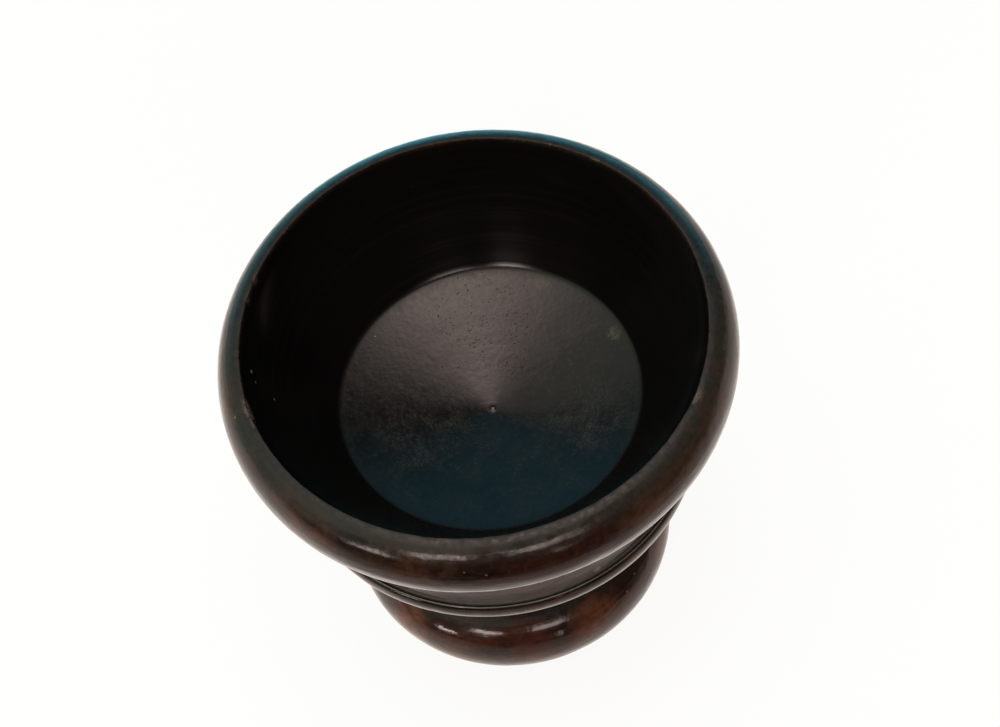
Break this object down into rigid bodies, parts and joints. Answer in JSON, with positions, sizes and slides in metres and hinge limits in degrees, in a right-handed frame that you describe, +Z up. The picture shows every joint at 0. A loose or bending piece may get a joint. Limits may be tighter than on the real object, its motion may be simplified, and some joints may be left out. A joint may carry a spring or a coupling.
{
  "type": "pedestal salt cellar",
  "caption": "Turned hardwood pedestal salt cellar: a deep open bowl with a rolled rim on a bead collar, coved stem and round-edged foot.",
  "frame": {"origin": "centre of the flat ring that the foot rests on, on the turning axis", "axes": "+Z up along the turning axis, out of the bowl's mouth; +X to the right and +Y away from the picture's viewer"},
  "size_m": [0.076, 0.076, 0.0665],
  "materials": {
    "bowl_wood": "dark stained mahogany, worn polish",
    "collar_wood": "dark stained mahogany, worn polish",
    "stem_wood": "dark stained mahogany, worn polish",
    "foot_wood": "dark stained mahogany, worn polish",
    "wedge_wood": "bare boxwood, sawn and trimmed"
  },
  "bodies": {
    "root": {"bowl": "bowl_wood", "bead_collar": "collar_wood", "stem": "stem_wood", "foot": "foot_wood", "tenon_wedge": "wedge_wood"}
  },
  "joints": []
}
